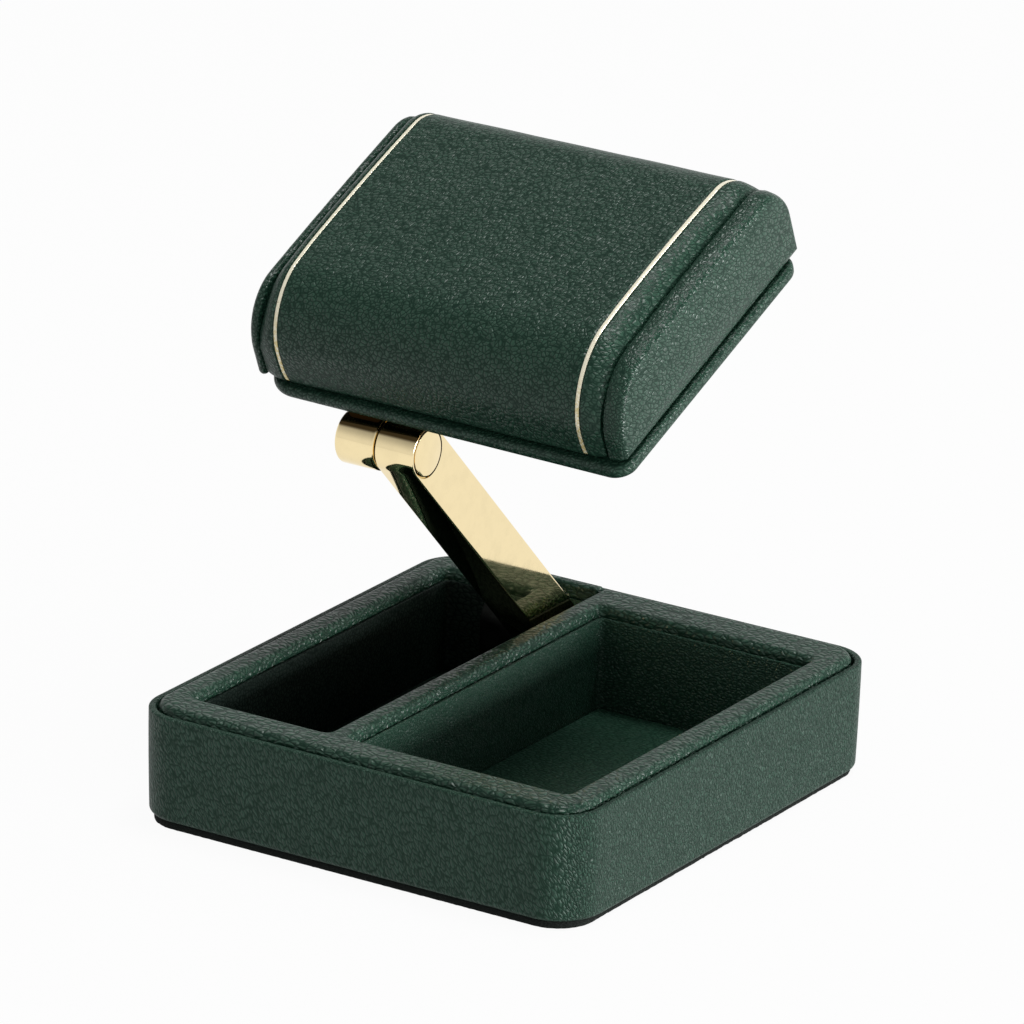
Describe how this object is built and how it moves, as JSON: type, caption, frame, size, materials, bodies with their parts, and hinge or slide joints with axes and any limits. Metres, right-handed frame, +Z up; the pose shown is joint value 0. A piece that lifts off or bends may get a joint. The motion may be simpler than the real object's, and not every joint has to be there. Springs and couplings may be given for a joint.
{
  "type": "travel watch stand",
  "caption": "Leather covered travel watch stand: a tray with two compartments and a folding arm that holds a padded watch cushion.",
  "frame": {"origin": "centre of the tray's underside, on the surface that it stands on", "axes": "+Z up; +Y from the tray's front to its back, where the arm is hinged; +X to the right seen from the front; both hinge axes run along X"},
  "size_m": [0.1134, 0.122, 0.131],
  "materials": {
    "green_leather": "pebbled, satin",
    "green_lining": "fine grain, matte",
    "black_felt": "felt",
    "board": "raw fibreboard",
    "pale_gold_metal": "polished",
    "gilt_line": "thin gilt strip, slightly worn",
    "dark_steel": "blackened",
    "black_washer": "low-friction disc"
  },
  "bodies": {
    "tray": {"felt_foot": "black_felt", "bottom_board": "board", "outer_wall": "green_leather", "front_rail": "board", "left_rail": "board", "right_rail": "board", "back_left_rail": "board", "back_right_rail": "board", "divider_board": "board", "top_frame": "green_leather", "notch_facing": "green_leather", "left_liner": "green_lining", "right_liner": "green_lining", "left_floor_pad": "green_lining", "right_floor_pad": "green_lining", "hinge_block": "board", "base_hinge_bracket": "dark_steel", "base_hinge_screw_1": "dark_steel", "base_hinge_screw_2": "dark_steel", "base_hinge_pin": "pale_gold_metal", "base_hinge_washer": "black_washer"},
    "arm": {"arm": "pale_gold_metal", "upper_hinge_pin": "pale_gold_metal"},
    "cushion": {"cushion_bracket": "pale_gold_metal", "upper_hinge_washer": "black_washer", "cushion_screw_1": "pale_gold_metal", "cushion_screw_2": "pale_gold_metal", "cushion_plate": "green_leather", "cushion_core": "board", "main_pad": "green_leather", "left_end_panel": "green_leather", "right_end_panel": "green_leather", "gold_line_left": "gilt_line", "gold_line_right": "gilt_line"}
  },
  "joints": [
    {"name": "arm_fold", "type": "hinge", "parent": "tray", "child": "arm", "pos_m": [-0.0198, 0.04935, 0.0175], "axis": [1, 0, 0], "range_deg": [-20, 43.1]},
    {"name": "cushion_tilt", "type": "hinge", "parent": "arm", "child": "cushion", "pos_m": [-0.0198, -0.00922, 0.07546], "axis": [1, 0, 0], "range_deg": [-66.5, 31]}
  ],
  "couplings": [
    {"joint": "cushion_tilt", "follows": "arm_fold", "ratio": -1.5376}
  ]
}
